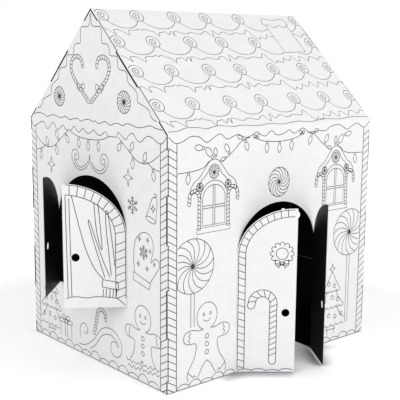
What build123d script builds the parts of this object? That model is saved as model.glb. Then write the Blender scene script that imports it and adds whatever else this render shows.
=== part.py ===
from build123d import *
import math
import os

# A child's playhouse of corrugated card, in millimetres.
# It stands on the ground with +Z up and its door wall facing -Y.
# The origin is on the ground, in the middle of the room that the house takes with its flaps open.

# House
house_length = 975  # door wall, from corner to corner
house_depth = 815  # gable end, from corner to corner
eave_height = 835
ridge_height = 1220

# Card
card = 2.5  # single-wall corrugated card
crease_radius = 0.4  # inner radius of a folded crease
seam = 0.4  # air between a tab and the sheet that it lies behind
knife_cut = 0.6  # width of a cut around a door leaf or a shutter
score = 1.2  # depth of the groove pressed along a leaf's crease from inside

# Tabs along the corners and the rakes
tab_length = 144
tab_depth = 50
tab_taper = 12  # how much shorter a tab gets at each end, towards its free edge
tab_corner = 6  # corner radius of a tab
tab_relief = 3  # a tab is this much shorter, at each end, than the space it folds through
slot_gap = 1.4  # gap at each end of a stretch, where one sheet takes over from the other
wall_tabs = 3
wall_end = 46  # plain stretch at each end of an upright corner
rake_tabs = 2
rake_end = 56  # plain stretch at each end of a rake

# Flaps folded in on the ground
ground_flap_depth = 180
doorway_flap_gap = 10  # from the doorway's jamb to the flap beside it
doorway_flap_taper = 8

# Doorway and its two leaves, measured along the door wall from its middle
door_half_width = 190
door_springing = 414  # height where the arch begins
door_rise = 160  # height of the arch
door_split = 10  # where the leaves meet
door_ground_gap = 5
left_door_open = 40  # degrees
right_door_open = 56

# Window and its two shutters, measured along the gable end from its middle
window_centre = -15
window_half_width = 208
window_sill = 242
window_springing = 485
window_rise = 175
front_shutter_open = 54
back_shutter_open = 46

# Finger holes
finger_hole_radius = 13.5
door_hole_inset = 34  # from the leaf's free edge
door_hole_height = 215
shutter_hole_inset = 40
shutter_hole_height = 414

# Worked out from the sizes above
fold_radius = crease_radius + card  # outer radius of a crease
crease_line = card + seam + fold_radius  # from a corner to where a sheet starts to bend behind the other
root = 1.0  # how far a tab's bend runs into the sheet that it grows from
slope_length = math.hypot(house_depth / 2, ridge_height - eave_height)
slope_run = house_depth / 2 / slope_length
slope_fall = (ridge_height - eave_height) / slope_length


def leaf_width(half_width, split):
    return half_width - split - knife_cut / 2


def reach(width, degrees):
    return width * math.sin(math.radians(degrees))


left_door_width = leaf_width(door_half_width, -door_split)
right_door_width = leaf_width(door_half_width, door_split)
shutter_width = leaf_width(window_half_width, 0)
front_reach = max(reach(left_door_width, left_door_open), reach(right_door_width, right_door_open))
side_reach = max(reach(shutter_width, front_shutter_open), reach(shutter_width, back_shutter_open))
middle = Vector(side_reach / 2, front_reach / 2, 0)  # the middle of the four walls

# The outer face of each wall: x runs to the right and y upwards, seen from outside
door_wall = Plane(middle + Vector(0, -house_depth / 2, 0), x_dir=(1, 0, 0), z_dir=(0, -1, 0))
left_wall = Plane(middle + Vector(-house_length / 2, 0, 0), x_dir=(0, -1, 0), z_dir=(-1, 0, 0))
right_wall = Plane(middle + Vector(house_length / 2, 0, 0), x_dir=(0, 1, 0), z_dir=(1, 0, 0))


# Corners and rakes
# Each gable end meets the wrap along two upright corners and two rakes. A seam is the middle of such an
# edge, the direction into the house along the gable end, its length, its tabs and its plain end.
def seams(side):
    edges = []
    for back in (-1, 1):
        corner = middle + Vector(side * house_length / 2, back * house_depth / 2, eave_height / 2)
        edges.append((corner, Vector(0, -back, 0), eave_height, wall_tabs, wall_end))
        rake_height = (eave_height + ridge_height) / 2
        rake = middle + Vector(side * house_length / 2, back * house_depth / 4, rake_height)
        inwards = Vector(0, -back * slope_fall, -slope_run)
        edges.append((rake, inwards, slope_length, rake_tabs, rake_end))
    return edges


def tab_pitch(length, tabs, end):
    return (length - 2 * end - tab_length) / (tabs - 1)


def evenly(pitch, count):
    return [(index - (count - 1) / 2) * pitch for index in range(count)]


def sections(corner, across, behind, spots):
    """Planes square to a seam at each of its spots: x runs into one sheet and y into the other."""
    along = across.cross(behind)
    return [Plane(corner + along * spot, x_dir=across, z_dir=along) for spot in spots]


def bent_tabs(corner, across, behind, spots, length):
    """Tabs that bend away from the sheet along across and lie behind the sheet along behind."""
    with BuildSketch(*sections(corner, across, behind, spots)) as bends:
        with BuildLine():
            FilletPolyline(
                (crease_line + root, 0),
                (card + seam, 0),
                (card + seam, tab_depth),
                radius=fold_radius,
            )
            offset(amount=card, side=Side.RIGHT)
        make_face()
    extrude(bends.sketch, amount=length / 2, both=True)

    taper_start = fold_radius + root
    trimmed = tab_depth - taper_start
    planes = [Plane(spot.origin + across * seam, x_dir=behind, z_dir=across)
              for spot in sections(corner, across, behind, spots)]
    with BuildSketch(*planes) as trims:
        with Locations((taper_start, 0)):
            Rectangle(trimmed + root, length + 2 * root, align=(Align.MIN, Align.CENTER))
        with BuildLine():
            FilletPolyline(
                (taper_start, -length / 2),
                (tab_depth, tab_taper - length / 2),
                (tab_depth, length / 2 - tab_taper),
                (taper_start, length / 2),
                radius=tab_corner,
            )
            Line((taper_start, length / 2), (taper_start, -length / 2))
        make_face(mode=Mode.SUBTRACT)
    extrude(trims.sketch, amount=3 * card, mode=Mode.SUBTRACT)


def edge_strips(corner, across, behind, spots, length, width, depth, mode):
    """Straight strips along a seam, added to a sheet or cut from it."""
    with BuildSketch(*sections(corner, across, behind, spots)) as strips:
        Rectangle(width, depth, align=Align.MIN)
    extrude(strips.sketch, amount=length / 2, both=True, mode=mode)


# Door and window openings
def arch(centre, half_width, foot, springing, rise):
    """A round-headed opening, from its foot to the top of its arch."""
    with Locations((centre, springing)):
        Ellipse(half_width, rise)
    with Locations((centre, foot)):
        Rectangle(2 * half_width, springing - foot, align=(Align.CENTER, Align.MIN))


def crease(wall, x, foot, springing):
    """A groove pressed into the inner face of a sheet along the upright crease at x."""
    foot_plane = Plane(wall.from_local_coords((x, foot)), x_dir=wall.x_dir, z_dir=(0, 0, 1))
    with BuildSketch(foot_plane) as groove:
        with BuildLine():
            Polyline((-score, card), (score, card), (0, card - score), (-score, card))
        make_face()
    extrude(groove.sketch, amount=springing - foot, mode=Mode.SUBTRACT)


def leaf(wall, hinge, free_edge, opened, centre, half_width, foot, springing, rise, hole_inset, hole_height):
    """A leaf hung on the crease at hinge and swung outwards, filling its side of an arched opening."""
    hand = 1 if free_edge > hinge else -1
    swing = -hand * opened
    hung = Plane(
        wall.from_local_coords((hinge, 0)),
        x_dir=wall.x_dir.rotate(Axis.Z, swing),
        z_dir=wall.z_dir.rotate(Axis.Z, swing),
    )
    width = abs(free_edge - hinge) - knife_cut / 2
    with BuildSketch(hung) as outline:
        arch(centre - hinge, half_width - knife_cut, foot, springing, rise - knife_cut)
        with Locations((hand * width / 2, 0)):
            Rectangle(width, springing + rise, align=(Align.CENTER, Align.MIN), mode=Mode.INTERSECT)
        with Locations((hand * (width - hole_inset), hole_height)):
            Circle(finger_hole_radius, mode=Mode.SUBTRACT)
    extrude(outline.sketch, amount=-card)
    crease(hung, 0, foot, springing)


# Ground flaps
def mitred_flap(near, far, lean_near, lean_far, plane):
    """A flap on the ground, from near to far along its crease, with leaning ends."""
    run = ground_flap_depth - fold_radius
    with BuildSketch(plane) as flap:
        with BuildLine():
            Polyline(
                (near, fold_radius),
                (far, fold_radius),
                (far - lean_far * run, ground_flap_depth),
                (near + lean_near * run, ground_flap_depth),
                (near, fold_radius),
            )
        make_face()
    extrude(flap.sketch, amount=card)


# Wrap: door wall, both roof slopes and back wall in one sheet, folded at the eaves and the ridge
with BuildPart() as wrap_sheet:
    with BuildSketch(Plane(middle, x_dir=(0, 1, 0), z_dir=(1, 0, 0))):
        with BuildLine():
            FilletPolyline(
                (fold_radius + root - house_depth / 2, 0),
                (-house_depth / 2, 0),
                (-house_depth / 2, eave_height),
                (0, ridge_height),
                (house_depth / 2, eave_height),
                (house_depth / 2, 0),
                (house_depth / 2 - fold_radius - root, 0),
                radius=fold_radius,
            )
            offset(amount=card, side=Side.RIGHT)
        make_face()
    extrude(amount=house_length / 2, both=True)

    with BuildSketch(door_wall):
        arch(0, door_half_width, 0, door_springing, door_rise)
    extrude(amount=-crease_line, mode=Mode.SUBTRACT)
    for jamb in (-door_half_width, door_half_width):
        crease(door_wall, jamb, door_ground_gap, door_springing)

    for side in (-1, 1):
        panel = Vector(-side, 0, 0)
        for corner, gable, length, tabs, end in seams(side):
            spots = evenly(tab_pitch(length, tabs, end), tabs)
            notch = tab_length + slot_gap
            edge_strips(corner, panel, gable, spots, notch, crease_line, card, Mode.SUBTRACT)
            bent_tabs(corner, panel, gable, spots, tab_length - 2 * tab_relief)

    wall_end_x = house_length / 2 - fold_radius - card - seam
    flap_end_x = door_half_width + doorway_flap_gap
    doorway_lean = doorway_flap_taper / ground_flap_depth
    ground_front = Plane(middle + Vector(0, -house_depth / 2, 0), x_dir=(1, 0, 0), z_dir=(0, 0, 1))
    ground_back = Plane(middle + Vector(0, house_depth / 2, 0), x_dir=(-1, 0, 0), z_dir=(0, 0, 1))
    mitred_flap(-wall_end_x, -flap_end_x, 1, doorway_lean, ground_front)
    mitred_flap(flap_end_x, wall_end_x, doorway_lean, 1, ground_front)
    mitred_flap(-wall_end_x, wall_end_x, 1, 1, ground_back)
wrap_sheet.part.label = "wrap_sheet"


# Gable ends: the wall, lugs that reach the corners between the wrap's tabs, tabs and a ground flap
def gable_end(side, wall):
    wall_middle = Vector(middle.X + side * house_length / 2, middle.Y, 0)
    inwards = Vector(-side, 0, 0)
    half = house_depth / 2
    with BuildSketch(wall) as sheet:
        with BuildLine():
            Polyline(
                (-half, fold_radius - crease_line),
                (half, fold_radius - crease_line),
                (half, eave_height),
                (0, ridge_height),
                (-half, eave_height),
                (-half, fold_radius - crease_line),
            )
        make_face()
        offset(amount=-crease_line, kind=Kind.INTERSECTION, mode=Mode.REPLACE)
    extrude(sheet.sketch, amount=-card)
    with BuildSketch(wall) as window:
        arch(window_centre, window_half_width, window_sill, window_springing, window_rise)
    extrude(window.sketch, amount=-card, mode=Mode.SUBTRACT)
    for jamb in (window_centre - window_half_width, window_centre + window_half_width):
        crease(wall, jamb, window_sill, window_springing)

    for corner, along_gable, length, tabs, end in seams(side):
        pitch = tab_pitch(length, tabs, end)
        lug = tab_length - slot_gap
        reach_in = crease_line + root
        edge_strips(corner, inwards, along_gable, evenly(pitch, tabs), lug, card, reach_in, Mode.ADD)
        tab = pitch - tab_length - 2 * tab_relief
        bent_tabs(corner, along_gable, inwards, evenly(pitch, tabs - 1), tab)

    ground_half = half - crease_line
    with BuildSketch(Plane(wall_middle, x_dir=inwards, z_dir=(0, side, 0))) as bend:
        with BuildLine():
            FilletPolyline(
                (0, fold_radius + root),
                (0, 0),
                (fold_radius + root, 0),
                radius=fold_radius,
            )
            offset(amount=card, side=Side.LEFT)
        make_face()
    extrude(bend.sketch, amount=ground_half, both=True)
    ground = Plane(wall_middle, x_dir=(0, side, 0), z_dir=(0, 0, 1))
    mitred_flap(-ground_half, ground_half, 1, 1, ground)


with BuildPart() as left_gable_end:
    gable_end(-1, left_wall)
left_gable_end.part.label = "left_gable_end"

with BuildPart() as right_gable_end:
    gable_end(1, right_wall)
right_gable_end.part.label = "right_gable_end"


# Door leaves
def door_leaf(hinge, opened):
    leaf(
        door_wall, hinge, door_split, opened,
        0, door_half_width, door_ground_gap, door_springing, door_rise,
        door_hole_inset, door_hole_height,
    )


with BuildPart() as left_door_leaf:
    door_leaf(-door_half_width, left_door_open)
left_door_leaf.part.label = "left_door_leaf"

with BuildPart() as right_door_leaf:
    door_leaf(door_half_width, right_door_open)
right_door_leaf.part.label = "right_door_leaf"


# Shutters
def shutter(wall, hand, opened):
    leaf(
        wall, window_centre + hand * window_half_width, window_centre, opened,
        window_centre, window_half_width, window_sill + knife_cut, window_springing, window_rise,
        shutter_hole_inset, shutter_hole_height,
    )


with BuildPart() as left_front_shutter:
    shutter(left_wall, 1, front_shutter_open)
left_front_shutter.part.label = "left_front_shutter"

with BuildPart() as left_back_shutter:
    shutter(left_wall, -1, back_shutter_open)
left_back_shutter.part.label = "left_back_shutter"

with BuildPart() as right_front_shutter:
    shutter(right_wall, -1, 0)
right_front_shutter.part.label = "right_front_shutter"

with BuildPart() as right_back_shutter:
    shutter(right_wall, 1, 0)
right_back_shutter.part.label = "right_back_shutter"

# Files
os.makedirs("parts", exist_ok=True)
export_step(wrap_sheet.part, "parts/wrap_sheet.step")
export_step(left_gable_end.part, "parts/left_gable_end.step")
export_step(right_gable_end.part, "parts/right_gable_end.step")
export_step(left_door_leaf.part, "parts/left_door_leaf.step")
export_step(right_door_leaf.part, "parts/right_door_leaf.step")
export_step(left_front_shutter.part, "parts/left_front_shutter.step")
export_step(left_back_shutter.part, "parts/left_back_shutter.step")
export_step(right_front_shutter.part, "parts/right_front_shutter.step")
export_step(right_back_shutter.part, "parts/right_back_shutter.step")
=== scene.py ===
import bmesh
import bpy
import math
from mathutils import Matrix, Vector


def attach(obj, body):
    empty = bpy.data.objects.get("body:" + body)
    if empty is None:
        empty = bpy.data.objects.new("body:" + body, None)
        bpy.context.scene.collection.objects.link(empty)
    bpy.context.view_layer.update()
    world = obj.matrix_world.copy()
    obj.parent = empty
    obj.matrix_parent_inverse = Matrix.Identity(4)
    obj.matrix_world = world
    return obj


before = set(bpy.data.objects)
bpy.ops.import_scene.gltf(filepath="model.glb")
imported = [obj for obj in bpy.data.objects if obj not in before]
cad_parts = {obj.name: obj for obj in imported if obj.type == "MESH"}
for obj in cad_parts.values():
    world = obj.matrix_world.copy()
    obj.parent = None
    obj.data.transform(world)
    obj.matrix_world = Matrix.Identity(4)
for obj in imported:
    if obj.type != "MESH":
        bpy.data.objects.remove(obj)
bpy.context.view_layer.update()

scene = bpy.context.scene

# Millimetres, as the sheets are cut. The walls' middle is off the origin, because the leaves stand open on
# two sides.
house = {"length": 975.0, "depth": 815.0, "eave": 835.0, "ridge": 1220.0, "card": 2.5,
         "middle": (84.01641, 74.48903)}
doorway = {"middle": 0.0, "sill": 0.0, "halfWidth": 190.0, "springing": 414.0, "rise": 160.0, "leftOpen": 40.0,
           "rightOpen": 56.0}
window = {"middle": -15.0, "halfWidth": 208.0, "sill": 242.0, "springing": 485.0, "rise": 175.0,
          "frontOpen": 54.0, "backOpen": 46.0}
slope = math.hypot(house["depth"] / 2, house["ridge"] - house["eave"])
slopeRun = house["depth"] / 2 / slope
slopeRise = (house["ridge"] - house["eave"]) / slope


def wallFrame(middle, right, up):
    # x runs to the right and y upwards on a sheet, seen from outside, and z points out of it
    right, up = Vector(right).normalized(), Vector(up).normalized()
    out = right.cross(up)
    origin = (Vector(middle) + Vector((*house["middle"], 0))) / 1000
    turn = Matrix((right, up, out)).transposed().to_4x4()
    return Matrix.Translation(origin) @ turn @ Matrix.Scale(0.001, 4)


def leafFrame(wall, hinge, swing):
    # the sheet's own frame, hung on the crease at hinge and swung outwards
    crease = wall @ Matrix.Translation((hinge, 0, 0))
    return crease @ Matrix.Rotation(math.radians(swing), 4, "Y")


halfLength, halfDepth = house["length"] / 2, house["depth"] / 2
doorWall = wallFrame((0, -halfDepth, 0), (1, 0, 0), (0, 0, 1))
backWall = wallFrame((0, halfDepth, 0), (-1, 0, 0), (0, 0, 1))
leftGable = wallFrame((-halfLength, 0, 0), (0, -1, 0), (0, 0, 1))
rightGable = wallFrame((halfLength, 0, 0), (0, 1, 0), (0, 0, 1))
frontRoof = wallFrame((0, -halfDepth, house["eave"]), (1, 0, 0), (0, slopeRun, slopeRise))
backRoof = wallFrame((0, halfDepth, house["eave"]), (-1, 0, 0), (0, -slopeRun, slopeRise))
windowFront = window["middle"] + window["halfWidth"]
windowBack = window["middle"] - window["halfWidth"]
leftDoor = leafFrame(doorWall, -doorway["halfWidth"], -doorway["leftOpen"])
rightDoor = leafFrame(doorWall, doorway["halfWidth"], doorway["rightOpen"])
frontShutter = leafFrame(leftGable, windowFront, window["frontOpen"])
backShutter = leafFrame(leftGable, windowBack, -window["backOpen"])
farBackShutter = leafFrame(rightGable, windowFront, 0)
farFrontShutter = leafFrame(rightGable, windowBack, 0)


# Colours and nodes
def fromHex(code):
    # an sRGB hex colour as the linear numbers that Blender wants
    steps = [int(code[i:i + 2], 16) / 255 for i in (1, 3, 5)]
    return [s / 12.92 if s <= 0.04045 else ((s + 0.055) / 1.055) ** 2.4 for s in steps] + [1.0]


def addNode(tree, kind, settings=None, inputs=()):
    # one node. Settings are its properties, or only its operation; inputs go by name or in order, and each
    # is a value, a socket to link, or a node, for that node's first output.
    node = tree.nodes.new(kind)
    if isinstance(settings, str):
        settings = {"operation": settings}
    for key, value in (settings or {}).items():
        setattr(node, key, value)
    for key, value in inputs.items() if isinstance(inputs, dict) else enumerate(inputs):
        if isinstance(value, bpy.types.Node):
            value = value.outputs[0]
        if isinstance(value, bpy.types.NodeSocket):
            tree.links.new(value, node.inputs[key])
        else:
            node.inputs[key].default_value = value
    return node


def newMaterial(name):
    material = bpy.data.materials.new(name)
    material.use_nodes = True
    material.node_tree.nodes.clear()
    return material, material.node_tree


# Corrugated card: a clay-coated white liner outside, and a liner and flutes dyed black behind it, which show
# inside and where the sheet is cut. Paper is rough, so light spreads on it with hardly any gloss.
cardLook = {
    "white": "#F7F7F7", "whiteCloud": "#F2F2F2", "black": "#0D0D0E", "blackWorn": "#161617",
    "fluting": "#2B2A29", "gap": "#0E0E0E", "cutWhite": "#A3A2A0", "cutBlack": "#111111", "cutPale": "#DBDAD8",
    "whiteRoughness": 0.62, "blackRoughness": 0.52, "whiteSheen": 0.25, "blackSheen": 0.42,
    "cloudScale": 25.0, "fibreScale": 900.0, "relief": 0.25, "reliefHeight": 0.00012,
    # metres: the flutes and the liners on a cut edge, how high above the ground the cuts begin, where the
    # doorway's cuts end below the eave, and how far to the right the cut edges turn pale with painted light
    "flutePitch": 0.0064, "fluteLine": 0.0003, "liner": 0.00026, "cutsFrom": 0.0035, "cutsTo": 0.82,
    "paleFrom": 0.3,
}


def cardMaterial(name, panel, angle=0.0, origin=(0, 0), pale=0.0):
    # the same card for every sheet; panel says how a sheet's depth is read from its place: wrap for walls and
    # roof, gable for the ends, leaf for a door leaf or shutter turned by angle. Cut edges are pale on the
    # right-hand end of the house, and on a leaf where pale is 1: painted light, for the light that shows
    # through the slits at that end.
    material, tree = newMaterial(name)
    place = addNode(tree, "ShaderNodeTexCoord")
    here = addNode(tree, "ShaderNodeMapping", {"vector_type": "TEXTURE"},
                   {"Vector": place.outputs["Object"], "Location": (*origin, 0), "Rotation": (0, 0, angle)})
    turned = addNode(tree, "ShaderNodeMapping", {"vector_type": "TEXTURE"},
                     {"Vector": place.outputs["Normal"], "Rotation": (0, 0, angle)})
    spot = addNode(tree, "ShaderNodeSeparateXYZ", inputs=[here]).outputs
    face = addNode(tree, "ShaderNodeSeparateXYZ", inputs=[turned]).outputs
    thick = house["card"] / 1000
    across, through = ("Y", "X") if panel == "gable" else ("X", "Y")
    facing = addNode(tree, "ShaderNodeMath", "ABSOLUTE", [face[through]])
    flat = addNode(tree, "ShaderNodeMath", "LESS_THAN", [facing, 0.5])
    if panel == "leaf":
        depth = addNode(tree, "ShaderNodeMath", "MULTIPLY", [spot["Y"], -1.0])
        cut, paler = flat, pale
    else:
        # the outer face of a wall is at depth 0, and so is the underside of a bottom flap
        half = (halfLength if panel == "gable" else halfDepth) / 1000
        sole = addNode(tree, "ShaderNodeMath", "MULTIPLY", [spot["Z"], -1.0])
        side = addNode(tree, "ShaderNodeMath", "ABSOLUTE", [spot[through]])
        wall = addNode(tree, "ShaderNodeMath", "SUBTRACT", [side, half])
        depth = addNode(tree, "ShaderNodeMath", "MAXIMUM", [wall, sole])
        high = addNode(tree, "ShaderNodeMath", "GREATER_THAN", [spot["Z"], cardLook["cutsFrom"]])
        cut = addNode(tree, "ShaderNodeMath", "MULTIPLY", [flat, high])
        # the cut edges at the right-hand end are painted pale: painted light for the slits at that end
        paler = addNode(tree, "ShaderNodeMath", "GREATER_THAN", [spot["X"], cardLook["paleFrom"]])
    if panel == "wrap":
        leaning = addNode(tree, "ShaderNodeMath", "MULTIPLY", [side, slopeRise])
        rising = addNode(tree, "ShaderNodeMath", "MULTIPLY_ADD", [spot["Z"], slopeRun, leaning])
        eavePlane = (halfDepth * slopeRise + house["eave"] * slopeRun) / 1000
        roof = addNode(tree, "ShaderNodeMath", "SUBTRACT", [rising, eavePlane])
        depth = addNode(tree, "ShaderNodeMath", "MAXIMUM", [depth, roof])
        sideways = addNode(tree, "ShaderNodeMath", "ABSOLUTE", [face["X"]])
        ends = addNode(tree, "ShaderNodeMath", "GREATER_THAN", [sideways, 0.6])
        low = addNode(tree, "ShaderNodeMath", "LESS_THAN", [spot["Z"], cardLook["cutsTo"]])
        doorCut = addNode(tree, "ShaderNodeMath", "MULTIPLY", [cut, low])
        cut = addNode(tree, "ShaderNodeMath", "MAXIMUM", [ends, doorCut])
    within = addNode(tree, "ShaderNodeMath", "COMPARE", [depth, -thick / 2, thick / 2 - 0.00006])
    isCut = addNode(tree, "ShaderNodeMath", "MULTIPLY", [cut, within])
    isInside = addNode(tree, "ShaderNodeMath", "LESS_THAN", [depth, -thick / 2])

    # white liner: fibre clouds of some 40 mm and specks of recycled pulp
    cloud = addNode(tree, "ShaderNodeTexNoise", inputs={
        "Vector": here, "Scale": cardLook["cloudScale"], "Detail": 5.0})
    fibre = addNode(tree, "ShaderNodeTexNoise", inputs={
        "Vector": here, "Scale": cardLook["fibreScale"], "Detail": 3.0})
    fleck = addNode(tree, "ShaderNodeMath", "MULTIPLY", [cloud, fibre])
    shade = addNode(tree, "ShaderNodeMapRange", inputs={"Value": fleck, "From Min": 0.16, "From Max": 0.34})
    white = addNode(tree, "ShaderNodeMix", {"data_type": "RGBA"},
                    {"Factor": shade, "A": fromHex(cardLook["white"]), "B": fromHex(cardLook["whiteCloud"])})
    # black liner: rubbed a little paler in patches
    rub = addNode(tree, "ShaderNodeMapRange", inputs={"Value": cloud, "From Min": 0.45, "From Max": 0.8})
    black = addNode(tree, "ShaderNodeMix", {"data_type": "RGBA"},
                    {"Factor": rub, "A": fromHex(cardLook["black"]), "B": fromHex(cardLook["blackWorn"])})
    # cut edge: liner, a wave of fluting every 6.4 mm, liner
    turns = addNode(tree, "ShaderNodeMath", "MULTIPLY", [spot[across], 2 * math.pi / cardLook["flutePitch"]])
    wave = addNode(tree, "ShaderNodeMath", "SINE", [turns])
    crest = addNode(tree, "ShaderNodeMath", "MULTIPLY_ADD", [wave, thick / 2 - cardLook["liner"], -thick / 2])
    paper = addNode(tree, "ShaderNodeMath", "COMPARE", [depth, crest, cardLook["fluteLine"]])
    outerSkin = addNode(tree, "ShaderNodeMath", "GREATER_THAN", [depth, -cardLook["liner"]])
    innerSkin = addNode(tree, "ShaderNodeMath", "LESS_THAN", [depth, cardLook["liner"] - thick])
    # the hollows between the flutes: the card inside them is dyed black, and they are painted darker than the
    # fluting as painted shade in the hollows
    edge = fromHex(cardLook["gap"])
    for part, tint in ((paper, "fluting"), (outerSkin, "cutWhite"), (innerSkin, "cutBlack"), (paler, "cutPale")):
        edge = addNode(tree, "ShaderNodeMix", {"data_type": "RGBA"},
                       {"Factor": part, "A": edge, "B": fromHex(cardLook[tint])}).outputs["Result"]
    liners = addNode(tree, "ShaderNodeMix", {"data_type": "RGBA"},
                     {"Factor": isInside, "A": white.outputs["Result"], "B": black.outputs["Result"]})
    colour = addNode(tree, "ShaderNodeMix", {"data_type": "RGBA"},
                     {"Factor": isCut, "A": liners.outputs["Result"], "B": edge})
    # the flutes print through the liners as faint washboarding, under the paper's own tooth
    ghost = addNode(tree, "ShaderNodeMath", "MULTIPLY_ADD", [wave, 0.5, 0.5])
    tooth = addNode(tree, "ShaderNodeMath", "MULTIPLY_ADD", [fibre, 0.6, ghost])
    bump = addNode(tree, "ShaderNodeBump", inputs={
        "Strength": cardLook["relief"], "Distance": cardLook["reliefHeight"], "Height": tooth})
    gloss = addNode(tree, "ShaderNodeMapRange", inputs={
        "Value": isInside, "To Min": cardLook["whiteRoughness"], "To Max": cardLook["blackRoughness"]})
    sheen = addNode(tree, "ShaderNodeMapRange", inputs={
        "Value": isInside, "To Min": cardLook["whiteSheen"], "To Max": cardLook["blackSheen"]})
    shader = addNode(tree, "ShaderNodeBsdfPrincipled", inputs={
        "Base Color": colour.outputs["Result"], "Roughness": gloss, "Normal": bump, "IOR": 1.45,
        "Specular IOR Level": sheen})
    addNode(tree, "ShaderNodeOutputMaterial", inputs={"Surface": shader})
    return material


def giveCard(node, material):
    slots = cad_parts[node].data.materials
    slots.clear()
    slots.append(material)


middleMetres = (house["middle"][0] / 1000, house["middle"][1] / 1000)
gableCard = cardMaterial("whiteTopCardGable", "gable", 0.0, middleMetres)
giveCard("wrap_sheet", cardMaterial("whiteTopCardWrap", "wrap", 0.0, middleMetres))
giveCard("left_gable_end", gableCard)
giveCard("right_gable_end", gableCard)
leafPlaces = {
    "left_door_leaf": leftDoor, "right_door_leaf": rightDoor,
    "left_front_shutter": frontShutter, "left_back_shutter": backShutter,
    "right_front_shutter": farFrontShutter, "right_back_shutter": farBackShutter,
}
for node, leaf in leafPlaces.items():
    direction = leaf.to_3x3() @ Vector((1, 0, 0))
    # the far shutters' cut edges get the same pale painted light
    paleLitEdges = node.startswith("right") and node.endswith("shutter")
    giveCard(node, cardMaterial(
        "whiteTopCard" + node.title().replace("_", ""), "leaf", math.atan2(direction.y, direction.x),
        leaf.translation[:2], 1.0 if paleLitEdges else 0.0))
print("card materials are on the sheets")

# Printed line: flexographic ink, soaked into the clay coat. It is matt and a shade short of black, and it
# thins out over single fibres. The same ink also draws the painted shadow lines at the seams and along
# the feet of the walls and gables.
inkLook = {"ink": "#0F0F10", "thin": "#2C2C2E", "roughness": 0.7, "sheen": 0.2, "grainScale": 700.0,
           "relief": 0.2, "reliefHeight": 0.0001}
inkForPrintAndShadow, tree = newMaterial("flexoInkAndPaintedShadow")
place = addNode(tree, "ShaderNodeTexCoord")
grain = addNode(tree, "ShaderNodeTexNoise", inputs={
    "Vector": place.outputs["Object"], "Scale": inkLook["grainScale"], "Detail": 2.0})
thin = addNode(tree, "ShaderNodeMapRange", inputs={"Value": grain, "From Min": 0.45, "From Max": 0.75})
tint = addNode(tree, "ShaderNodeMix", {"data_type": "RGBA"},
               {"Factor": thin, "A": fromHex(inkLook["ink"]), "B": fromHex(inkLook["thin"])})
relief = addNode(tree, "ShaderNodeBump", inputs={
    "Strength": inkLook["relief"], "Distance": inkLook["reliefHeight"], "Height": grain})
shader = addNode(tree, "ShaderNodeBsdfPrincipled", inputs={
    "Base Color": tint.outputs["Result"], "Roughness": inkLook["roughness"], "Normal": relief,
    "Specular IOR Level": inkLook["sheen"]})
addNode(tree, "ShaderNodeOutputMaterial", inputs={"Surface": shader})


# The print's lines. A stroke is a list of points in millimetres on its sheet, and a drawing is a list of
# strokes.
def smooth(points, steps=8):
    # a flowing line through a few points
    last = len(points) - 1
    result = []
    for i in range(last):
        a, b, c, d = (points[min(max(i + k, 0), last)] for k in (-1, 0, 1, 2))
        for step in range(steps):
            t = step / steps
            result.append(tuple(
                0.5 * (2 * b[k] + (c[k] - a[k]) * t + (2 * a[k] - 5 * b[k] + 4 * c[k] - d[k]) * t * t
                       + (3 * b[k] - a[k] - 3 * c[k] + d[k]) * t ** 3) for k in (0, 1)))
    return result + [points[-1]]


def oval(x, y, wide, high=None, start=0, end=360, count=None):
    high = high or wide
    count = count or max(8, int(abs(end - start) / 360 * (16 + 0.45 * max(wide, high))))
    angles = [math.radians(start + (end - start) * i / count) for i in range(count + 1)]
    return [(x + wide * math.cos(a), y + high * math.sin(a)) for a in angles]


def spiral(x, y, inner, outer, start, turns):
    count = 48
    result = []
    for i in range(count + 1):
        reach = inner + (outer - inner) * i / count
        angle = math.radians(start + 360 * turns * i / count)
        result.append((x + reach * math.cos(angle), y + reach * math.sin(angle)))
    return result


def placed(drawing, x=0, y=0, size=1.0, turn=0):
    c, s = math.cos(math.radians(turn)), math.sin(math.radians(turn))
    return [[(x + size * (px * c - py * s), y + size * (px * s + py * c)) for px, py in stroke]
            for stroke in drawing]


def mirrored(drawing, axis=0):
    return drawing + [[(2 * axis - x, y) for x, y in stroke] for stroke in drawing]


def kept(drawing, test):
    # leaves out what lies where test is false, such as behind another motif; lines are cut to within 3 mm
    result = []
    for stroke in drawing:
        dense = [stroke[0]]
        for (ax, ay), (bx, by) in zip(stroke, stroke[1:]):
            steps = max(1, int(math.dist((ax, ay), (bx, by)) / 3))
            dense += [(ax + (bx - ax) * i / steps, ay + (by - ay) * i / steps) for i in range(1, steps + 1)]
        run = []
        for point in dense + [None]:
            if point and test(*point):
                run.append(point)
                continue
            if len(run) > 1:
                result.append(run)
            run = []
    return result


def beside(path, distance):
    # a line that runs beside path
    result = []
    for i, (x, y) in enumerate(path):
        ax, ay = path[max(i - 1, 0)]
        bx, by = path[min(i + 1, len(path) - 1)]
        length = math.hypot(bx - ax, by - ay) or 1
        result.append((x - (by - ay) / length * distance, y + (bx - ax) / length * distance))
    return result


def stripedBand(path, width, pitch, lean=0.0, caps=False):
    # two lines beside path with strokes across every pitch; lean moves the far end of a stroke along the band
    left, right = beside(path, width / 2), beside(path, -width / 2)
    drawing = [left, right]
    if caps:
        for end, other in ((0, 1), (-1, -2)):
            x, y = path[end]
            heading = math.degrees(math.atan2(y - path[other][1], x - path[other][0]))
            drawing.append(oval(x, y, width / 2, start=heading - 90, end=heading + 90, count=8))
    lengths = [0]
    for a, b in zip(path, path[1:]):
        lengths.append(lengths[-1] + math.dist(a, b))

    def along(line, distance):
        distance = min(max(distance, 0), lengths[-1])
        i = max(k for k in range(len(lengths) - 1) if lengths[k] <= distance)
        t = (distance - lengths[i]) / (lengths[i + 1] - lengths[i])
        return tuple(line[i][k] + (line[i + 1][k] - line[i][k]) * t for k in (0, 1))

    spot = pitch / 2
    while spot < lengths[-1] - 1:
        if 0 <= spot + lean <= lengths[-1]:
            drawing.append([along(left, spot), along(right, spot + lean)])
        spot += pitch
    return drawing


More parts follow.
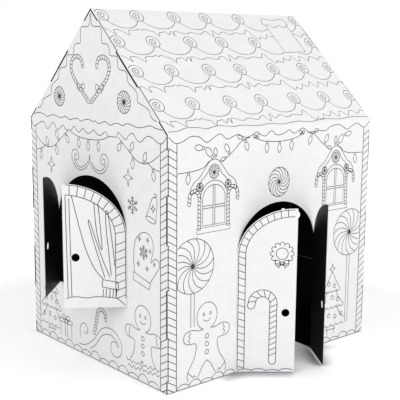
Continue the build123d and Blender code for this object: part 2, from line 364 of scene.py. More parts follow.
def peppermint(x, y, radius, blades, bend=40):
    # a round sweet whose stripes run out from its middle and turn towards the rim
    drawing = [oval(x, y, radius)]
    for blade in range(blades):
        start = 360 * blade / blades
        drawing.append([(x + radius * r * math.cos(math.radians(start + bend * r * r)),
                         y + radius * r * math.sin(math.radians(start + bend * r * r)))
                        for r in (0.01, 0.15, 0.3, 0.4, 0.5, 0.6, 0.68, 0.76, 0.84, 0.92, 1)])
    return drawing


def bulb(x, y, size=1.0, turn=0):
    # a fairy light: a cap and a drop
    drop = smooth([(-4, -8), (-9, -20), (-6, -32), (0, -38), (6, -32), (9, -20), (4, -8)])
    return placed([[(-5, 0), (5, 0), (4, -8), (-4, -8), (-5, 0)], drop], x, y, size, turn)


def bow(x, y, size=1.0):
    loop = smooth([(3, 2), (14, 10), (24, 8), (24, -8), (14, -9), (3, -2)])
    return placed(mirrored([loop, [(3, -3), (12, -20), (17, -13)]]) + [oval(0, 0, 5)], x, y, size)


def starOutline(x, y, radius):
    points = [(0, 1), (0.22, 0.24), (1, 0), (0.22, -0.24), (0, -1), (-0.22, -0.24), (-1, 0), (-0.22, 0.24),
              (0, 1)]
    return [[(x + radius * px * 0.85, y + radius * py) for px, py in points]]


def snowflake(x, y, radius):
    drawing = []
    for arm in range(6):
        drawing += placed([[(0, 2), (0, radius)], [(-6, radius * 0.9), (0, radius * 0.62), (6, radius * 0.9)],
                           [(-7, radius * 0.6), (0, radius * 0.34), (7, radius * 0.6)]], x, y, 1, arm * 60)
    return drawing


def cookieFigure(x, y, size=1.0):
    # a plain biscuit-cutter figure with a round head, icing cuffs and buttons
    half = smooth([(16, 68), (36, 66), (70, 74), (98, 66), (104, 44), (88, 28), (54, 24), (48, 6), (58, -30),
                   (84, -70), (86, -98), (66, -112), (44, -104), (18, -62), (0, -46)], steps=4)
    head = oval(0, 112, 46, 48, start=-68, end=248)
    cuff = [(78, 70), (74, 62), (82, 56), (75, 48), (83, 41), (77, 31)]
    ankle = [(48, -98), (58, -88), (62, -96), (70, -86), (78, -80), (84, -72)]
    smile = oval(0, 108, 17, 15, start=205, end=335)
    eyes = [oval(15, 120, 4, 5)]
    buttons = [oval(0, height, 8) for height in (40, 12, -16)]
    return placed(mirrored([half, cuff, ankle] + eyes) + [head, smile] + buttons, x, y, size)


def firTree(x, y, size=1.0):
    # three scalloped tiers with baubles, a star on top and a pot
    drawing = starOutline(0, 262, 22)
    for top, foot, wide in ((244, 172, 52), (186, 104, 76), (120, 28, 98)):
        start = (6, top) if top == 244 else (wide * 0.35, top - 12)
        edge = smooth([start, (wide * 0.5, (top + foot) / 2), (wide, foot)])
        bumps = []
        for bump in range(3):
            left = wide * (1 - 2 * (bump + 1) / 3 * 0.5)
            right = wide * (1 - 2 * bump / 3 * 0.5)
            bumps += oval((left + right) / 2, foot, (right - left) / 2, 9, 0, -180, 8)[0 if bump == 0 else 1:]
        drawing += mirrored([edge, bumps])
    for bx, by in ((-18, 200), (16, 188), (-40, 132), (4, 140), (38, 128), (-58, 58), (-14, 66), (26, 56),
                   (62, 62)):
        drawing.append(oval(bx, by, 8))
        drawing.append([(bx, by + 8), (bx, by + 12)])
    pot = [[(-24, 18), (-19, -18), (19, -18), (24, 18)], [(-28, 6), (28, 6)]]
    return placed(drawing + pot, x, y, size)


def giftBox(x, y, wide, high):
    half, over, lid = wide / 2, wide / 2 + 4, high + 14
    drawing = [[(-half, 0), (half, 0), (half, high), (-half, high), (-half, 0)],
               [(-over, high), (over, high), (over, lid), (-over, lid), (-over, high)],
               [(-7, 0), (-7, lid)], [(7, 0), (7, lid)]]
    return placed(drawing, x, y) + bow(x, y + high + 20, 0.9)


def humps(left, right, foot, high, count):
    # snow heaped along the foot of a wall
    step = (right - left) / count
    line = []
    for i in range(count):
        rise = high * (0.75 + 0.25 * math.sin(i * 2.4))
        line += oval(left + step * (i + 0.5), foot, step / 2, rise, 180, 0)
    return [line]


def lightString(points, bulbs):
    # a wire with lights hung from it, each given by its place and tilt
    drawing = [smooth(points)]
    for x, y, turn in bulbs:
        drawing += bulb(x, y, 1.0, turn)
    return drawing


def sugarWindow(x, y):
    # an arched window under an iced gable with sweets
    pane = [(-48, 0)] + oval(0, 88, 48, 42, 180, 0) + [(48, 0), (-48, 0)]
    arch = oval(0, 88, 58, 56, 180, 0)
    bars = [[(-4, 0), (-4, 130)], [(4, 0), (4, 130)], [(-48, 56), (-4, 56)], [(4, 56), (48, 56)],
            [(-48, 64), (-4, 64)], [(4, 64), (48, 64)]]
    icing = smooth([(0, 213), (20, 206), (40, 184), (62, 158), (86, 142), (99, 122), (95, 108), (82, 113),
                    (70, 116)])
    eaves = smooth([(0, 196), (16, 190), (32, 166), (52, 148), (64, 134)])
    sill = [[(-72, -24), (72, -24), (72, -6), (-72, -6), (-72, -24)]]
    drawing = [pane, arch] + bars + sill + mirrored([icing, eaves])
    cane = smooth([(62, -6), (62, 60), (62, 94), (70, 111), (86, 116), (101, 104), (104, 76)])
    drawing += mirrored(stripedBand(cane, 12, 13, 6, True))
    drawing += peppermint(0, 170, 20, 10) + mirrored(peppermint(61, 127, 14, 8))
    return placed(drawing, x, y)


def inOpening(shape, x, y, margin=3):
    # whether a point lies in the doorway or in a window, or as near to it as margin
    half, rise = shape["halfWidth"] + margin, shape["rise"] + margin
    x -= shape["middle"]
    if y < shape["springing"]:
        return abs(x) < half and y > shape["sill"] - margin
    return (x / half) ** 2 + ((y - shape["springing"]) / rise) ** 2 < 1


# Geometry Nodes lay a drawing out in rows and columns and give its lines the width of the print, in
# millimetres. Half of the ink's height is in the card.
inkLine = {"width": 2.3, "raised": 0.24, "layer": 0.012, "layers": 8}
printTree = bpy.data.node_groups.new("printedLines", "GeometryNodeTree")
for label, kind, value in (
    ("Drawing", "NodeSocketGeometry", None),
    ("Columns", "NodeSocketInt", 1), ("Column step", "NodeSocketVector", (0, 0, 0)),
    ("Rows", "NodeSocketInt", 1), ("Row step", "NodeSocketVector", (0, 0, 0)),
    ("Line width", "NodeSocketFloat", 2.2), ("Ink height", "NodeSocketFloat", 0.24),
    ("Ink", "NodeSocketMaterial", None),
):
    socket = printTree.interface.new_socket(label, in_out="INPUT", socket_type=kind)
    if value is not None:
        socket.default_value = value
printTree.interface.new_socket("Lines", in_out="OUTPUT", socket_type="NodeSocketGeometry")
given = addNode(printTree, "NodeGroupInput").outputs
repeated = given["Drawing"]
for count, step in (("Columns", "Column step"), ("Rows", "Row step")):
    spots = addNode(printTree, "GeometryNodeMeshLine", {"mode": "OFFSET"},
                    {"Count": given[count], "Offset": given[step]})
    copies = addNode(printTree, "GeometryNodeInstanceOnPoints", inputs={"Points": spots, "Instance": repeated})
    repeated = addNode(printTree, "GeometryNodeRealizeInstances", inputs=[copies])
lines = addNode(printTree, "GeometryNodeMeshToCurve", inputs=[repeated])
levelled = addNode(printTree, "GeometryNodeSetCurveNormal", {"mode": "Z_UP"}, [lines])
nib = addNode(printTree, "GeometryNodeCurvePrimitiveQuadrilateral", inputs={
    "Width": given["Line width"], "Height": given["Ink height"]})
strokes = addNode(printTree, "GeometryNodeCurveToMesh", inputs={
    "Curve": levelled, "Profile Curve": nib, "Fill Caps": True})
realStrokes = addNode(printTree, "GeometryNodeRealizeInstances", inputs=[strokes])
inked = addNode(printTree, "GeometryNodeSetMaterial", inputs={"Geometry": realStrokes, "Material": given["Ink"]})
addNode(printTree, "NodeGroupOutput", inputs=[inked])
printSockets = {item.name: item.identifier for item in printTree.interface.items_tree if item.in_out == "INPUT"}


def printed(drawing, columns=1, columnStep=(0, 0, 0), rows=1, rowStep=(0, 0, 0), width=None, layer=0):
    # the ribbons of one drawing, repeated as asked, as a mesh in the sheet's own millimetres; each stroke is
    # a hundredth deeper than the last, so that no two share a surface where they cross, and layer is the
    # first one's number
    mesh = bpy.data.meshes.new("drawing")
    points, edges = [], []
    for number, stroke in enumerate(drawing, layer):
        closed = len(stroke) > 3 and math.dist(stroke[0], stroke[-1]) < 1e-6
        ring = stroke[:-1] if closed else stroke
        start = len(points)
        points += [(x, y, -inkLine["layer"] * (number % inkLine["layers"])) for x, y in ring]
        edges += [(start + i, start + i + 1) for i in range(len(ring) - 1)]
        if closed:
            edges.append((start + len(ring) - 1, start))
    mesh.from_pydata(points, edges, [])
    holder = bpy.data.objects.new("drawing", mesh)
    scene.collection.objects.link(holder)
    modifier = holder.modifiers.new("print", "NODES")
    modifier.node_group = printTree
    for label, value in (
        ("Columns", columns), ("Column step", columnStep), ("Rows", rows), ("Row step", rowStep),
        ("Line width", width or inkLine["width"]), ("Ink height", inkLine["raised"]), ("Ink", inkForPrintAndShadow),
    ):
        modifier[printSockets[label]] = value
    result = bpy.data.meshes.new_from_object(holder.evaluated_get(bpy.context.evaluated_depsgraph_get()))
    bpy.data.objects.remove(holder)
    bpy.data.meshes.remove(mesh)
    return result


def printOn(name, body, sheet, ribbons):
    # one printed piece for each sheet
    gathered = bmesh.new()
    for ribbon in ribbons:
        ribbon.transform(sheet)
        gathered.from_mesh(ribbon)
        bpy.data.meshes.remove(ribbon)
    mesh = bpy.data.meshes.new(name)
    bmesh.ops.recalc_face_normals(gathered, faces=gathered.faces)
    gathered.to_mesh(mesh)
    gathered.free()
    mesh.materials.append(inkForPrintAndShadow)
    piece = bpy.data.objects.new(name, mesh)
    scene.collection.objects.link(piece)
    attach(piece, body)
    print(name, "has", len(mesh.polygons), "faces")


# Corner posts: an upright line and slanting strokes that rise towards the corner, over a short first stroke
post = {"width": 36.0, "clear": 1.2, "foot": 3.0, "top": 806.0, "first": 22.4, "pitch": 24.28, "rise": 20.0,
        "line": 2.9, "strokes": 32}


def cornerPosts(half):
    inner, outer = half - post["width"], half - post["clear"]
    upright = [[(inner, post["foot"]), (inner, post["top"])],
               [(inner + 8, post["foot"]), (outer, post["first"] - 4)]]
    stroke = [[(inner, post["first"]), (outer, post["first"] + post["rise"])]]
    ribbons = [printed(mirrored(upright), width=post["line"], layer=4)]
    ribbons.append(printed(mirrored(stroke), rows=post["strokes"], rowStep=(0, post["pitch"], 0)))
    return ribbons


# Door wall: iced windows, lollipops, a biscuit figure and a fir tree under snow and strings of lights
doorWallPrint = {
    "windowHeight": 534.0, "windowOut": 297.0, "heap": 20.0, "foot": 484.0, "sweet": (2, 643, 51, 12, 70),
    "figure": (-322, 124, 0.96), "tree": (300, 44, 0.92), "leftLollipop": (-385, 408, 90, 449, 205),
    "rightLollipop": (388, 414, 88, 449, 60),
    "snow": [(-484, 828), (-466, 811), (-448, 806), (-425, 812), (-395, 824), (-362, 821), (-340, 806),
             (-325, 802), (-305, 812), (-275, 825), (-250, 810), (-238, 806), (-222, 811), (-196, 818),
             (-172, 810), (-155, 806), (-132, 812), (-110, 821), (-90, 812), (-68, 805), (-50, 817), (-36, 821),
             (-20, 808), (2, 805), (28, 812), (46, 819), (62, 810), (76, 806), (98, 816), (120, 821), (140, 808),
             (156, 805), (180, 806), (206, 808), (232, 805), (262, 818), (296, 824), (322, 818), (352, 804),
             (376, 812), (408, 823), (428, 815), (446, 806), (462, 809), (484, 827)],
}


def wallStrings():
    middle = lightString([(-116, 802), (-70, 788), (0, 783), (70, 788), (116, 802)],
                         [(-60, 787, 0), (0, 782, 0), (60, 787, 0)])
    side = lightString([(140, 806), (176, 796), (212, 768), (250, 742), (268, 736)],
                       [(162, 798, -20), (232, 758, 150)])
    end = lightString([(318, 742), (345, 722), (390, 714), (449, 712)], [(404, 713, 5)])
    knots = bow(112, 808, 0.5)
    above = bulb(303, 750, 1.2, -220) + bulb(340, 784, 1.05, -262) + bulb(290, 752, 0.8, 172)
    above += bulb(172, 802, 0.7, 115) + bulb(246, 748, 0.7, 70)
    return middle + mirrored(side + end + knots + above)


def lollipop(x, y, radius, limit, foot):
    sweet = peppermint(x, y, radius, 15, 34)
    stick = [[(x - 7, y - radius), (x - 7, foot)], [(x + 7, y - radius), (x + 7, foot)]]
    return kept(sweet, lambda px, py: abs(px) < limit) + stick


def behindFigure(x, y):
    middle = doorWallPrint["figure"][0]
    return math.hypot(x - middle, y - 232) > 50 and not (abs(x - middle) < 104 and y < 200)


def wallMotifs():
    # what the door wall and the back wall have in common
    motifs = kept(lollipop(*doorWallPrint["leftLollipop"]), behindFigure)
    motifs += kept(cookieFigure(*doorWallPrint["figure"]), lambda x, y: y > 25)
    motifs += lollipop(*doorWallPrint["rightLollipop"])
    motifs += kept(firTree(*doorWallPrint["tree"]), lambda x, y: x < 377 and y > 28)
    motifs += [smooth(doorWallPrint["snow"], steps=6)] + wallStrings()
    return motifs + peppermint(*doorWallPrint["sweet"])


def wallRibbons(motifs):
    windows = printed(mirrored(sugarWindow(doorWallPrint["windowOut"], doorWallPrint["windowHeight"])))
    return cornerPosts(halfLength) + [windows, printed(motifs)]


# a dark line along the foot of the wall: painted shadow where the wall meets the floor
footShadowLine = [[(-doorWallPrint["foot"], 4), (doorWallPrint["foot"], 4)]]
doorMotifs = wallMotifs() + mirrored(humps(196, 448, 6, doorWallPrint["heap"], 5)) + footShadowLine
doorMotifs = kept(doorMotifs, lambda x, y: not inOpening(doorway, x, y))
printOn("print_and_shadow_door_wall", "house", doorWall, wallRibbons(doorMotifs))

# Back wall: the same print, with a cane, a star and a snowflake where the door would be
longCane = smooth([(-70, 60), (-20, 170), (30, 280), (52, 332), (44, 372), (8, 384), (-16, 356)])
backMotifs = wallMotifs() + stripedBand(longCane, 26, 22, 9, True)
backMotifs += starOutline(90, 470, 30) + snowflake(-90, 470, 34)
backMotifs += humps(-448, 448, 6, doorWallPrint["heap"], 17) + footShadowLine
printOn("print_and_shadow_back_wall", "house", backWall, wallRibbons(backMotifs))
print("walls are printed")

# Roof: rows of snow scallops with a swirl at each joint, and icing that drips under them
roofPrint = {
    "edge": 5.0, "rows": (121, 269, 404, 529), "swirls": (-460, -315, -152, -5, 160, 318, 466), "swirl": 26.0,
    "line": 2.1, "chimney": (286, 402), "chimneyFoot": 354.0, "chimneyTop": 500.0,
    # a scallop from swirl to swirl: parts of its width, and how far each hangs under its row
    "scallop": ((0.06, 25), (0.17, 44), (0.34, 58), (0.5, 61), (0.66, 58), (0.83, 44), (0.94, 25)),
}
dripPoints = [(-482, 56), (-470, 52), (-458, 38), (-447, 28), (-449, 50), (-425, 50), (-410, 40), (-395, 26),
              (-388, 48), (-370, 51), (-355, 51), (-340, 57), (-330, 51), (-318, 56), (-300, 48), (-285, 44),
              (-272, 22), (-262, 40), (-245, 43), (-235, 45), (-225, 30), (-215, 42), (-205, 47), (-202, 25),
              (-195, 48), (-175, 45), (-160, 38), (-140, 37), (-125, 44), (-110, 43), (-90, 37), (-75, 37),
              (-60, 48), (-45, 50), (-35, 36), (-22, 26), (-12, 58), (2, 38), (12, 38), (25, 46), (40, 50),
              (55, 40), (75, 39), (90, 46), (105, 46), (130, 42), (145, 45), (156, 62), (166, 60), (176, 40),
              (190, 22), (204, 16), (215, 28), (225, 19), (240, 19), (254, 40), (265, 30), (285, 31), (300, 52),
              (312, 34), (330, 22), (345, 48), (362, 40), (380, 24), (400, 46), (420, 44), (440, 30), (462, 46),
              (482, 40)]


def roofRibbons(chimney):
    # the print stops short of the sheet's ends, where its tabs are bent
    swirl = [oval(0, 0, roofPrint["swirl"]), spiral(0, 0, 3, 17, 40, 1.7)]
    end = halfLength - roofPrint["edge"]
    drawing = [smooth([(-482, 11), (-440, 12), (-400, 22), (-350, 19), (-325, 12), (-270, 21), (-210, 14),
                       (-160, 16), (-100, 9), (-40, 14), (20, 8), (100, 15), (160, 9), (240, 16), (320, 11),
                       (400, 17), (482, 11)])]
    for height in roofPrint["rows"]:
        for left, right in zip(roofPrint["swirls"], roofPrint["swirls"][1:]):
            wide = right - left
            scallop = [(left + wide * part, height - drop) for part, drop in roofPrint["scallop"]]
            drawing.append(smooth(scallop, steps=5))
        drawing.append([(x, y + height - roofPrint["rows"][0]) for x, y in smooth(dripPoints, steps=3)])
        for x in roofPrint["swirls"]:
            drawing += kept(placed(swirl, x, height), lambda px, py: abs(px) < end)
    if chimney:
        left, right = roofPrint["chimney"]
        foot, top = roofPrint["chimneyFoot"], roofPrint["chimneyTop"]
        drawing = kept(drawing, lambda x, y: not (left < x < right and y > foot - 2))
        drawing += [[(left, foot), (left, top)], [(right, foot), (right, top)],
                    [(left, foot - 2), (right, foot + 2)],
                    smooth([(left, top), (276, 512), (290, 536), (344, 530), (398, 538), (412, 516), (right, top),
                            (378, 490), (356, 500), (326, 488), (304, 502), (left, top)])]
    return [printed(drawing, width=roofPrint["line"])]


printOn("print_front_roof", "house", frontRoof, roofRibbons(True))
printOn("print_back_roof", "house", backRoof, roofRibbons(False))
print("roof is printed")

# Gable ends: two canes that make a heart, icing down the rakes, and small motifs round the window
gablePrint = {
    "caneAxis": -10.0, "scrollAxis": -19.0, "figure": (278, 118, 0.93), "tree": (-290, 38, 0.9),
    "gift": (-190, 26, 74, 62), "heap": 27.0, "foot": 402.0,
    "upperSnow": [(-383, 848), (-360, 853), (-330, 854), (-300, 848), (-290, 843), (-265, 850), (-240, 853),
                  (-215, 848), (-195, 846), (-165, 852), (-140, 843), (-115, 848), (-85, 850), (-72, 842),
                  (-50, 848), (-20, 852), (5, 846), (20, 850), (36, 842), (60, 848), (80, 851), (105, 842),
                  (130, 849), (150, 851), (175, 846), (200, 854), (230, 850), (255, 845), (290, 850), (320, 856),
                  (350, 850), (383, 847)],
    "lowerSnow": [(-400, 824), (-394, 811), (-385, 804), (-372, 806), (-350, 815), (-328, 823), (-310, 820),
                  (-296, 805), (-286, 800), (-270, 812), (-252, 825), (-240, 820), (-228, 805), (-215, 802),
                  (-195, 815), (-180, 820), (-168, 808), (-150, 806), (-130, 808), (-112, 822), (-98, 812),
                  (-85, 803), (-70, 810), (-55, 818), (-40, 808), (-25, 804), (-10, 808), (5, 818), (20, 812),
                  (35, 803), (55, 806), (75, 818), (85, 812), (95, 804), (120, 805), (140, 806), (150, 821),
                  (165, 815), (190, 802), (210, 818), (230, 825), (250, 808), (268, 800), (285, 810), (305, 822),
                  (330, 820), (350, 810), (372, 804), (388, 812), (400, 826)],
}
# dark lines painted as shadow: they stand for the shade in the gap along the corners and rakes, where one sheet's
# tabs go in behind the other's edge:
# how far in from the edge they lie, how wide they are, and the stretches up a corner and down a rake
paintedSeamShadow = {"inset": 5.0, "width": 5.0, "corner": ((187, 345), (489, 644)), "rake": ((199, 356),)}


def gableRibbons():
    drips = smooth([(2, 1204), (5, 1172), (20, 1160), (50, 1160), (61, 1150), (62, 1112), (72, 1105), (95, 1103),
                    (104, 1090), (107, 1072), (118, 1066), (148, 1064), (151, 1036), (162, 1024), (190, 1020),
                    (202, 1008), (206, 986), (220, 976), (243, 964), (254, 950), (257, 926), (272, 920),
                    (296, 912), (316, 902), (322, 888), (336, 876), (354, 872)], steps=3)
    canePath = smooth([(32, 1030), (40, 1052), (66, 1062), (94, 1052), (104, 1026), (92, 996), (60, 964),
                       (20, 930), (-2, 912)])
    axis = gablePrint["caneAxis"]
    canes = [[(2 * axis - x, y) for x, y in stroke] for stroke in stripedBand(canePath, 13, 14, -6, True)]
    canes += stripedBand(canePath, 13, 14, 6, True)
    drawing = mirrored([drips])
    drawing += kept(canes, lambda x, y: math.hypot(abs(x - axis) - 56, y - 962) > 15)
    drawing += bow(46, 962, 0.9) + bow(-66, 962, 0.9)
    drawing += peppermint(183, 921, 36, 14) + peppermint(-203, 921, 34, 14)
    drawing += [smooth(gablePrint["upperSnow"], steps=5), smooth(gablePrint["lowerSnow"], steps=6)]
    drawing += lightString([(-136, 803), (-90, 789), (-20, 784), (50, 789), (96, 803)],
                           [(-84, 788, 0), (-26, 783, 0), (36, 787, 0)])
    drawing += mirrored(lightString([(150, 806), (200, 772), (246, 742), (290, 734), (330, 746), (368, 770)],
                                    [(168, 792, -35), (232, 748, -10), (286, 735, 160), (334, 722, 8),
                                     (214, 764, 150)])
                        + lightString([(300, 742), (330, 726), (368, 718)], []))
    # a scroll with curled ends over the window
    drawing += mirrored([smooth([(-18, 730), (-16, 708), (-4, 690), (20, 677), (48, 673), (74, 686), (90, 708),
                                 (90, 728), (77, 741), (60, 740), (48, 728), (49, 713), (60, 705), (71, 710),
                                 (73, 721), (65, 727), (59, 720)]),
                         smooth([(-8, 708), (6, 694), (28, 684), (50, 684), (66, 694), (78, 710)])],
                        gablePrint["scrollAxis"])
    drawing += starOutline(203, 680, 30) + starOutline(-268, 672, 30) + snowflake(226, 592, 30)
    mitten = smooth([(236, 372), (230, 420), (240, 478), (272, 508), (306, 512), (330, 494), (334, 460),
                     (322, 420), (346, 436), (366, 428), (364, 410), (334, 372), (318, 352)])
    cuff = [(228, 372), (320, 350), (314, 328), (228, 346), (228, 372)]
    drawing += [mitten, cuff] + snowflake(284, 446, 24)
    for x, y, radius in ((262, 488, 10), (306, 490, 9), (256, 404, 10), (302, 396, 10), (340, 416, 8),
                         (318, 456, 8)):
        drawing += starOutline(x, y, radius)
    bell = smooth([(297, 565), (308, 585), (318, 606), (328, 626), (340, 634), (352, 628), (354, 606), (350, 580),
                   (348, 553)])
    drawing += [bell, oval(346, 640, 6)] + placed([oval(0, 0, 27, 8)], 322, 559, 1, -13)
    drawing += starOutline(334, 596, 15)
    # biscuit figure, scrolls, parcels and a tree along the foot
    drawing += kept(cookieFigure(*gablePrint["figure"]), lambda x, y: y > 66 + 0.05 * (x - 190))
    drawing += kept(giftBox(*gablePrint["gift"]), lambda x, y: y > 34)
    drawing += kept(firTree(*gablePrint["tree"]), lambda x, y: x > -366 and y > 34 and not (x > -234 and y < 118))
    ruffle = [(186, 70), (194, 58), (206, 63), (216, 54), (228, 64), (240, 55), (252, 66), (262, 58), (272, 78),
              (280, 60), (294, 68), (306, 58), (318, 72), (330, 62), (344, 74), (356, 64), (366, 72)]
    drawing += [smooth(ruffle, steps=3), smooth([(x, y - 17) for x, y in ruffle[1:]], steps=3)]
    drawing += [smooth([(-104, 34), (-60, 42), (-10, 74), (44, 128), (104, 140), (152, 112), (158, 70), (126, 46),
                        (98, 62), (100, 92), (124, 100), (134, 84)]),
                smooth([(-34, 34), (0, 56), (46, 104), (96, 118), (134, 100), (142, 84)]),
                smooth([(-90, 56), (-96, 96), (-70, 120), (-48, 104), (-54, 84), (-70, 88)])]
    drawing += stripedBand(smooth([(-4, 100), (10, 150), (18, 182), (40, 196), (62, 186), (66, 164)]), 13, 12, 5,
                           True)
    drawing += humps(-364, 364, 6, gablePrint["heap"], 13)
    # a dark line along the foot of the gable: painted shadow where it meets the floor
    drawing += [[(-gablePrint["foot"], 4), (gablePrint["foot"], 4)]]
    inset = paintedSeamShadow["inset"]
    seamShadows = [[(halfDepth - inset, low), (halfDepth - inset, high)] for low, high in paintedSeamShadow["corner"]]
    for high, low in paintedSeamShadow["rake"]:
        seamShadows.append([(t * slopeRun - inset * slopeRise, house["ridge"] - t * slopeRise - inset * slopeRun)
                      for t in (high, low)])
    ribbons = [printed(kept(drawing, lambda x, y: not inOpening(window, x, y)))] + cornerPosts(halfDepth)
    # the painted seam shadows go on in ink, over the gable's print
    return ribbons + [printed(mirrored(seamShadows), width=paintedSeamShadow["width"], layer=6)]


printOn("print_and_shadow_left_gable", "house", leftGable, gableRibbons())
printOn("print_and_shadow_right_gable", "house", rightGable, gableRibbons())
print("gable ends are printed")

# Leaves: a striped border that follows the arch, with a cane and a wreath on the doors and a curtain on the
# shutters, and no line across a finger hole, whose middle is so far in from the free edge and so high
border = {"doorInset": 5.0, "doorWidth": 23.0, "shutterInset": 4.0, "shutterWidth": 33.0}
fingerHole = {"clear": 16.0, "doorIn": 34.0, "doorHigh": 215.0, "shutterIn": 40.0, "shutterHigh": 414.0}
leafWidth = {"leftDoor": 199.7, "rightDoor": 179.7, "shutter": 207.7, "margin": 3.7}


def archBorder(shape, foot, inset, width, pitch, lean, cutAt):
    # runs up the jamb at x = 0 and over the arch to the leaf's free edge at x = cutAt
    half, springing, rise = shape["halfWidth"], shape["springing"], shape["rise"]
    mid = inset + width / 2
    arch = [point for point in oval(half, springing, half - mid, rise - mid, 180, 60, 40) if point[0] < cutAt]
    jamb = stripedBand([(mid, foot), (mid, springing)], width, pitch, lean)
    return jamb + stripedBand(arch, width, pitch, lean / 4)


def doorDrawing(width):
    cutAt = width - leafWidth["margin"]
    drawing = archBorder(doorway, 14, border["doorInset"], border["doorWidth"], 24, -8, cutAt)
    canePath = [(49, 240)] + oval(88, 246, 37, 37, 178, 0, 14) + [(124, 220), (124, 150), (124, 100), (124, 44)]
    drawing += stripedBand(smooth(canePath, steps=2), 24, 19, 12, True)
    wreath = []
    for leafSpot in range(12):
        wreath += placed([oval(0, 0, 10, 8, -100, 100, 8)], 150 + 30 * math.cos(leafSpot * math.pi / 6),
                         420 + 30 * math.sin(leafSpot * math.pi / 6), 1, leafSpot * 30)
    drawing += wreath + [oval(150, 420, 20, count=20)] + bow(150, 388, 0.9)
    drawing += humps(6, cutAt, 8, 9, 4)
    hole = (width - fingerHole["doorIn"], fingerHole["doorHigh"])
    return kept(drawing, lambda x, y: x < cutAt and math.dist((x, y), hole) > fingerHole["clear"])


def shutterDrawing():
    cutAt = leafWidth["shutter"] - leafWidth["margin"]
    hole = (leafWidth["shutter"] - fingerHole["shutterIn"], fingerHole["shutterHigh"])
    drawing = archBorder(window, 272, border["shutterInset"], border["shutterWidth"], 26, -13, cutAt)
    drawing += [[(182, 280), (186, 612)], [(194, 280), (198, 622)]]
    drawing += [smooth([(178, 622), (164, 560), (150, 500), (130, 430), (104, 372), (78, 340)]),
                smooth([(73, 345), (88, 396), (108, 466), (124, 530), (119, 532), (100, 470), (78, 402),
                        (56, 345)]),
                smooth([(106, 598), (100, 520), (92, 470), (84, 442), (81, 450), (86, 520), (92, 590)]),
                smooth([(52, 352), (58, 420), (66, 500), (68, 558), (62, 566), (52, 500), (44, 430), (40, 384)])]
    drawing += [[(30, 328), (81, 338), (82, 313), (28, 301), (30, 328)]]
    drawing += [[(x, 310 - x * 0.05), (x + 2, 277)] for x in (34, 45, 56, 68, 78)]
    drawing += [smooth([(204, 275), (170, 281), (132, 276), (100, 280), (40, 274), (20, 262), (6, 248)])]
    return kept(drawing, lambda x, y: x < cutAt and math.dist((x, y), hole) > fingerHole["clear"])


def flipped(drawing):
    return [[(-x, y) for x, y in stroke] for stroke in drawing]


for name, body, leaf, drawing in (
    ("print_left_door", "left_door", leftDoor, doorDrawing(leafWidth["leftDoor"])),
    ("print_right_door", "right_door", rightDoor, flipped(doorDrawing(leafWidth["rightDoor"]))),
    ("print_front_shutter", "left_front_shutter", frontShutter, flipped(shutterDrawing())),
    ("print_back_shutter", "left_back_shutter", backShutter, shutterDrawing()),
    ("print_far_front_shutter", "right_front_shutter", farFrontShutter, shutterDrawing()),
    ("print_far_back_shutter", "right_back_shutter", farBackShutter, flipped(shutterDrawing())),
):
    printOn(name, body, leaf, [printed(drawing)])
print("leaves are printed")

# Studio: a white floor and backdrop, a wide soft light over the camera and a fill
studio = {
    "floor": "#F4F4F5", "floorCloud": "#F6F5F6", "floorLift": 0.27, "liftFrom": 1.0, "liftTo": 2.6, "sky": 0.64,
    # foot is the colour of the shadow painted on the floor under the door leaves; footShade is how far the
    # occlusion looks, and footFrom to footTo where the painted shadow fades out round the doorway
    "foot": "#8F8B96", "footShade": 0.075, "footFrom": 0.19, "footTo": 0.31,
    # each light's place, the point it is turned to, its size in metres and its power in watts
    "key": ((1.0, -4.4, 2.5), (0.1, 0, 0.6), (3.0, 2.4), 70.5),
    "fill": ((-4.2, -0.6, 2.4), (0, 0, 0.6), (2.6, 2.4), 46.0),
}
floorMaterial, tree = newMaterial("paleStudioFloor")
path = addNode(tree, "ShaderNodeLightPath")
place = addNode(tree, "ShaderNodeTexCoord").outputs["Object"]
dust = addNode(tree, "ShaderNodeTexNoise", inputs={"Vector": place, "Scale": 3.0, "Detail": 3.0})
paper = addNode(tree, "ShaderNodeMix", {"data_type": "RGBA"},
                {"Factor": dust, "A": fromHex(studio["floor"]), "B": fromHex(studio["floorCloud"])})
# a soft shadow is painted into the floor's colour close under the door leaves: where the occlusion finds the
# floor hemmed in, its colour turns to the grey foot colour and its lift goes, and none further off
opening = addNode(tree, "ShaderNodeAmbientOcclusion", {"samples": 8}, {"Distance": studio["footShade"]})
unshaded = addNode(tree, "ShaderNodeMapRange", inputs={
    "Value": opening.outputs["AO"], "From Min": 0.5, "From Max": 0.95})
doorFoot = (middleMetres[0], middleMetres[1] - halfDepth / 1000 - 0.08, 0)
beyond = addNode(tree, "ShaderNodeVectorMath", "DISTANCE", [place, doorFoot])
outer = addNode(tree, "ShaderNodeMapRange", {"interpolation_type": "SMOOTHSTEP"},
                {"Value": beyond.outputs["Value"], "From Min": studio["footFrom"], "From Max": studio["footTo"]})
openness = addNode(tree, "ShaderNodeMath", "MAXIMUM", [unshaded, outer])
shadowPaintedFloor = addNode(tree, "ShaderNodeMix", {"data_type": "RGBA"},
               {"Factor": openness, "A": fromHex(studio["foot"]), "B": paper.outputs["Result"]})
paint = addNode(tree, "ShaderNodeBsdfPrincipled", inputs={
    "Base Color": shadowPaintedFloor.outputs["Result"], "Roughness": 0.9, "Specular IOR Level": 0.1})
# to the camera the floor is a little lifted, and white further off
away = addNode(tree, "ShaderNodeVectorMath", "DISTANCE", [place, (*middleMetres, 0)])
lift = addNode(tree, "ShaderNodeMapRange", inputs={
    "Value": away.outputs["Value"], "From Min": studio["liftFrom"], "From Max": studio["liftTo"],
    "To Min": studio["floorLift"], "To Max": 1.0})
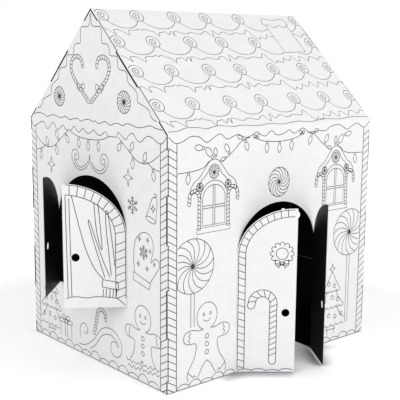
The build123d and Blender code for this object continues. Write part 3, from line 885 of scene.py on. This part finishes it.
# the painted shadow also takes the lift away under the door leaves
openLift = addNode(tree, "ShaderNodeMath", "MULTIPLY", [lift, openness])
glow = addNode(tree, "ShaderNodeEmission", inputs={"Color": (1, 1, 1, 1), "Strength": openLift})
both = addNode(tree, "ShaderNodeAddShader", inputs=[paint, glow])
seen = addNode(tree, "ShaderNodeMixShader", inputs=[path.outputs["Is Camera Ray"], paint, both])
addNode(tree, "ShaderNodeOutputMaterial", inputs={"Surface": seen})
floorMesh = bpy.data.meshes.new("studio_floor")
floorMesh.from_pydata([(-30, -30, 0), (30, -30, 0), (30, 30, 0), (-30, 30, 0)], [], [(0, 1, 2, 3)])
floorMesh.materials.append(floorMaterial)
floor = bpy.data.objects.new("studio_floor", floorMesh)
scene.collection.objects.link(floor)

world = bpy.data.worlds.new("studioBackdrop")
scene.world = world
world.use_nodes = True
tree = world.node_tree
tree.nodes.clear()
path = addNode(tree, "ShaderNodeLightPath")
looks = addNode(tree, "ShaderNodeMath", "MAXIMUM", [path.outputs["Is Camera Ray"], path.outputs["Is Glossy Ray"]])
level = addNode(tree, "ShaderNodeMapRange", inputs={"Value": looks, "To Min": studio["sky"], "To Max": 1.0})
backdrop = addNode(tree, "ShaderNodeBackground", inputs={"Color": (1, 1, 1, 1), "Strength": level})
addNode(tree, "ShaderNodeOutputWorld", inputs={"Surface": backdrop})


def softLight(name, place, aim, size, power):
    lamp = bpy.data.lights.new(name, "AREA")
    lamp.shape = "RECTANGLE"
    lamp.size, lamp.size_y = size
    lamp.energy = power
    light = bpy.data.objects.new(name, lamp)
    light.location = place
    light.rotation_euler = (Vector(aim) - Vector(place)).to_track_quat("-Z", "Y").to_euler()
    scene.collection.objects.link(light)


softLight("key_light", *studio["key"])
softLight("fill_light", *studio["fill"])

# Camera where the photo was taken from. Its focal length and frame are in the photo's pixels.
view = {"azimuth": -40.984, "elevation": 10.300, "roll": 0.436, "place": (-2.1120, -2.4280, 1.1068),
        "focus": 859.49, "frame": 400, "sensor": 36.0}
azimuth, elevation, roll = (math.radians(view[key]) for key in ("azimuth", "elevation", "roll"))
back = Vector((math.sin(azimuth) * math.cos(elevation), -math.cos(azimuth) * math.cos(elevation),
               math.sin(elevation)))
level = (-back).cross(Vector((0, 0, 1))).normalized()
top = level.cross(-back)
right = level * math.cos(roll) + top * math.sin(roll)
upright = top * math.cos(roll) - level * math.sin(roll)
cameraData = bpy.data.cameras.new("camera")
cameraData.sensor_width = view["sensor"]
cameraData.lens = view["focus"] / view["frame"] * view["sensor"]
cameraData.clip_start, cameraData.clip_end = 0.05, 100
camera = bpy.data.objects.new("camera", cameraData)
camera.matrix_world = Matrix.Translation(Vector(view["place"]) + Vector((*middleMetres, 0))) @ Matrix(
    (right, upright, back)).transposed().to_4x4()
scene.collection.objects.link(camera)
scene.camera = camera
scene.view_settings.view_transform = "Standard"
print("studio is lit")
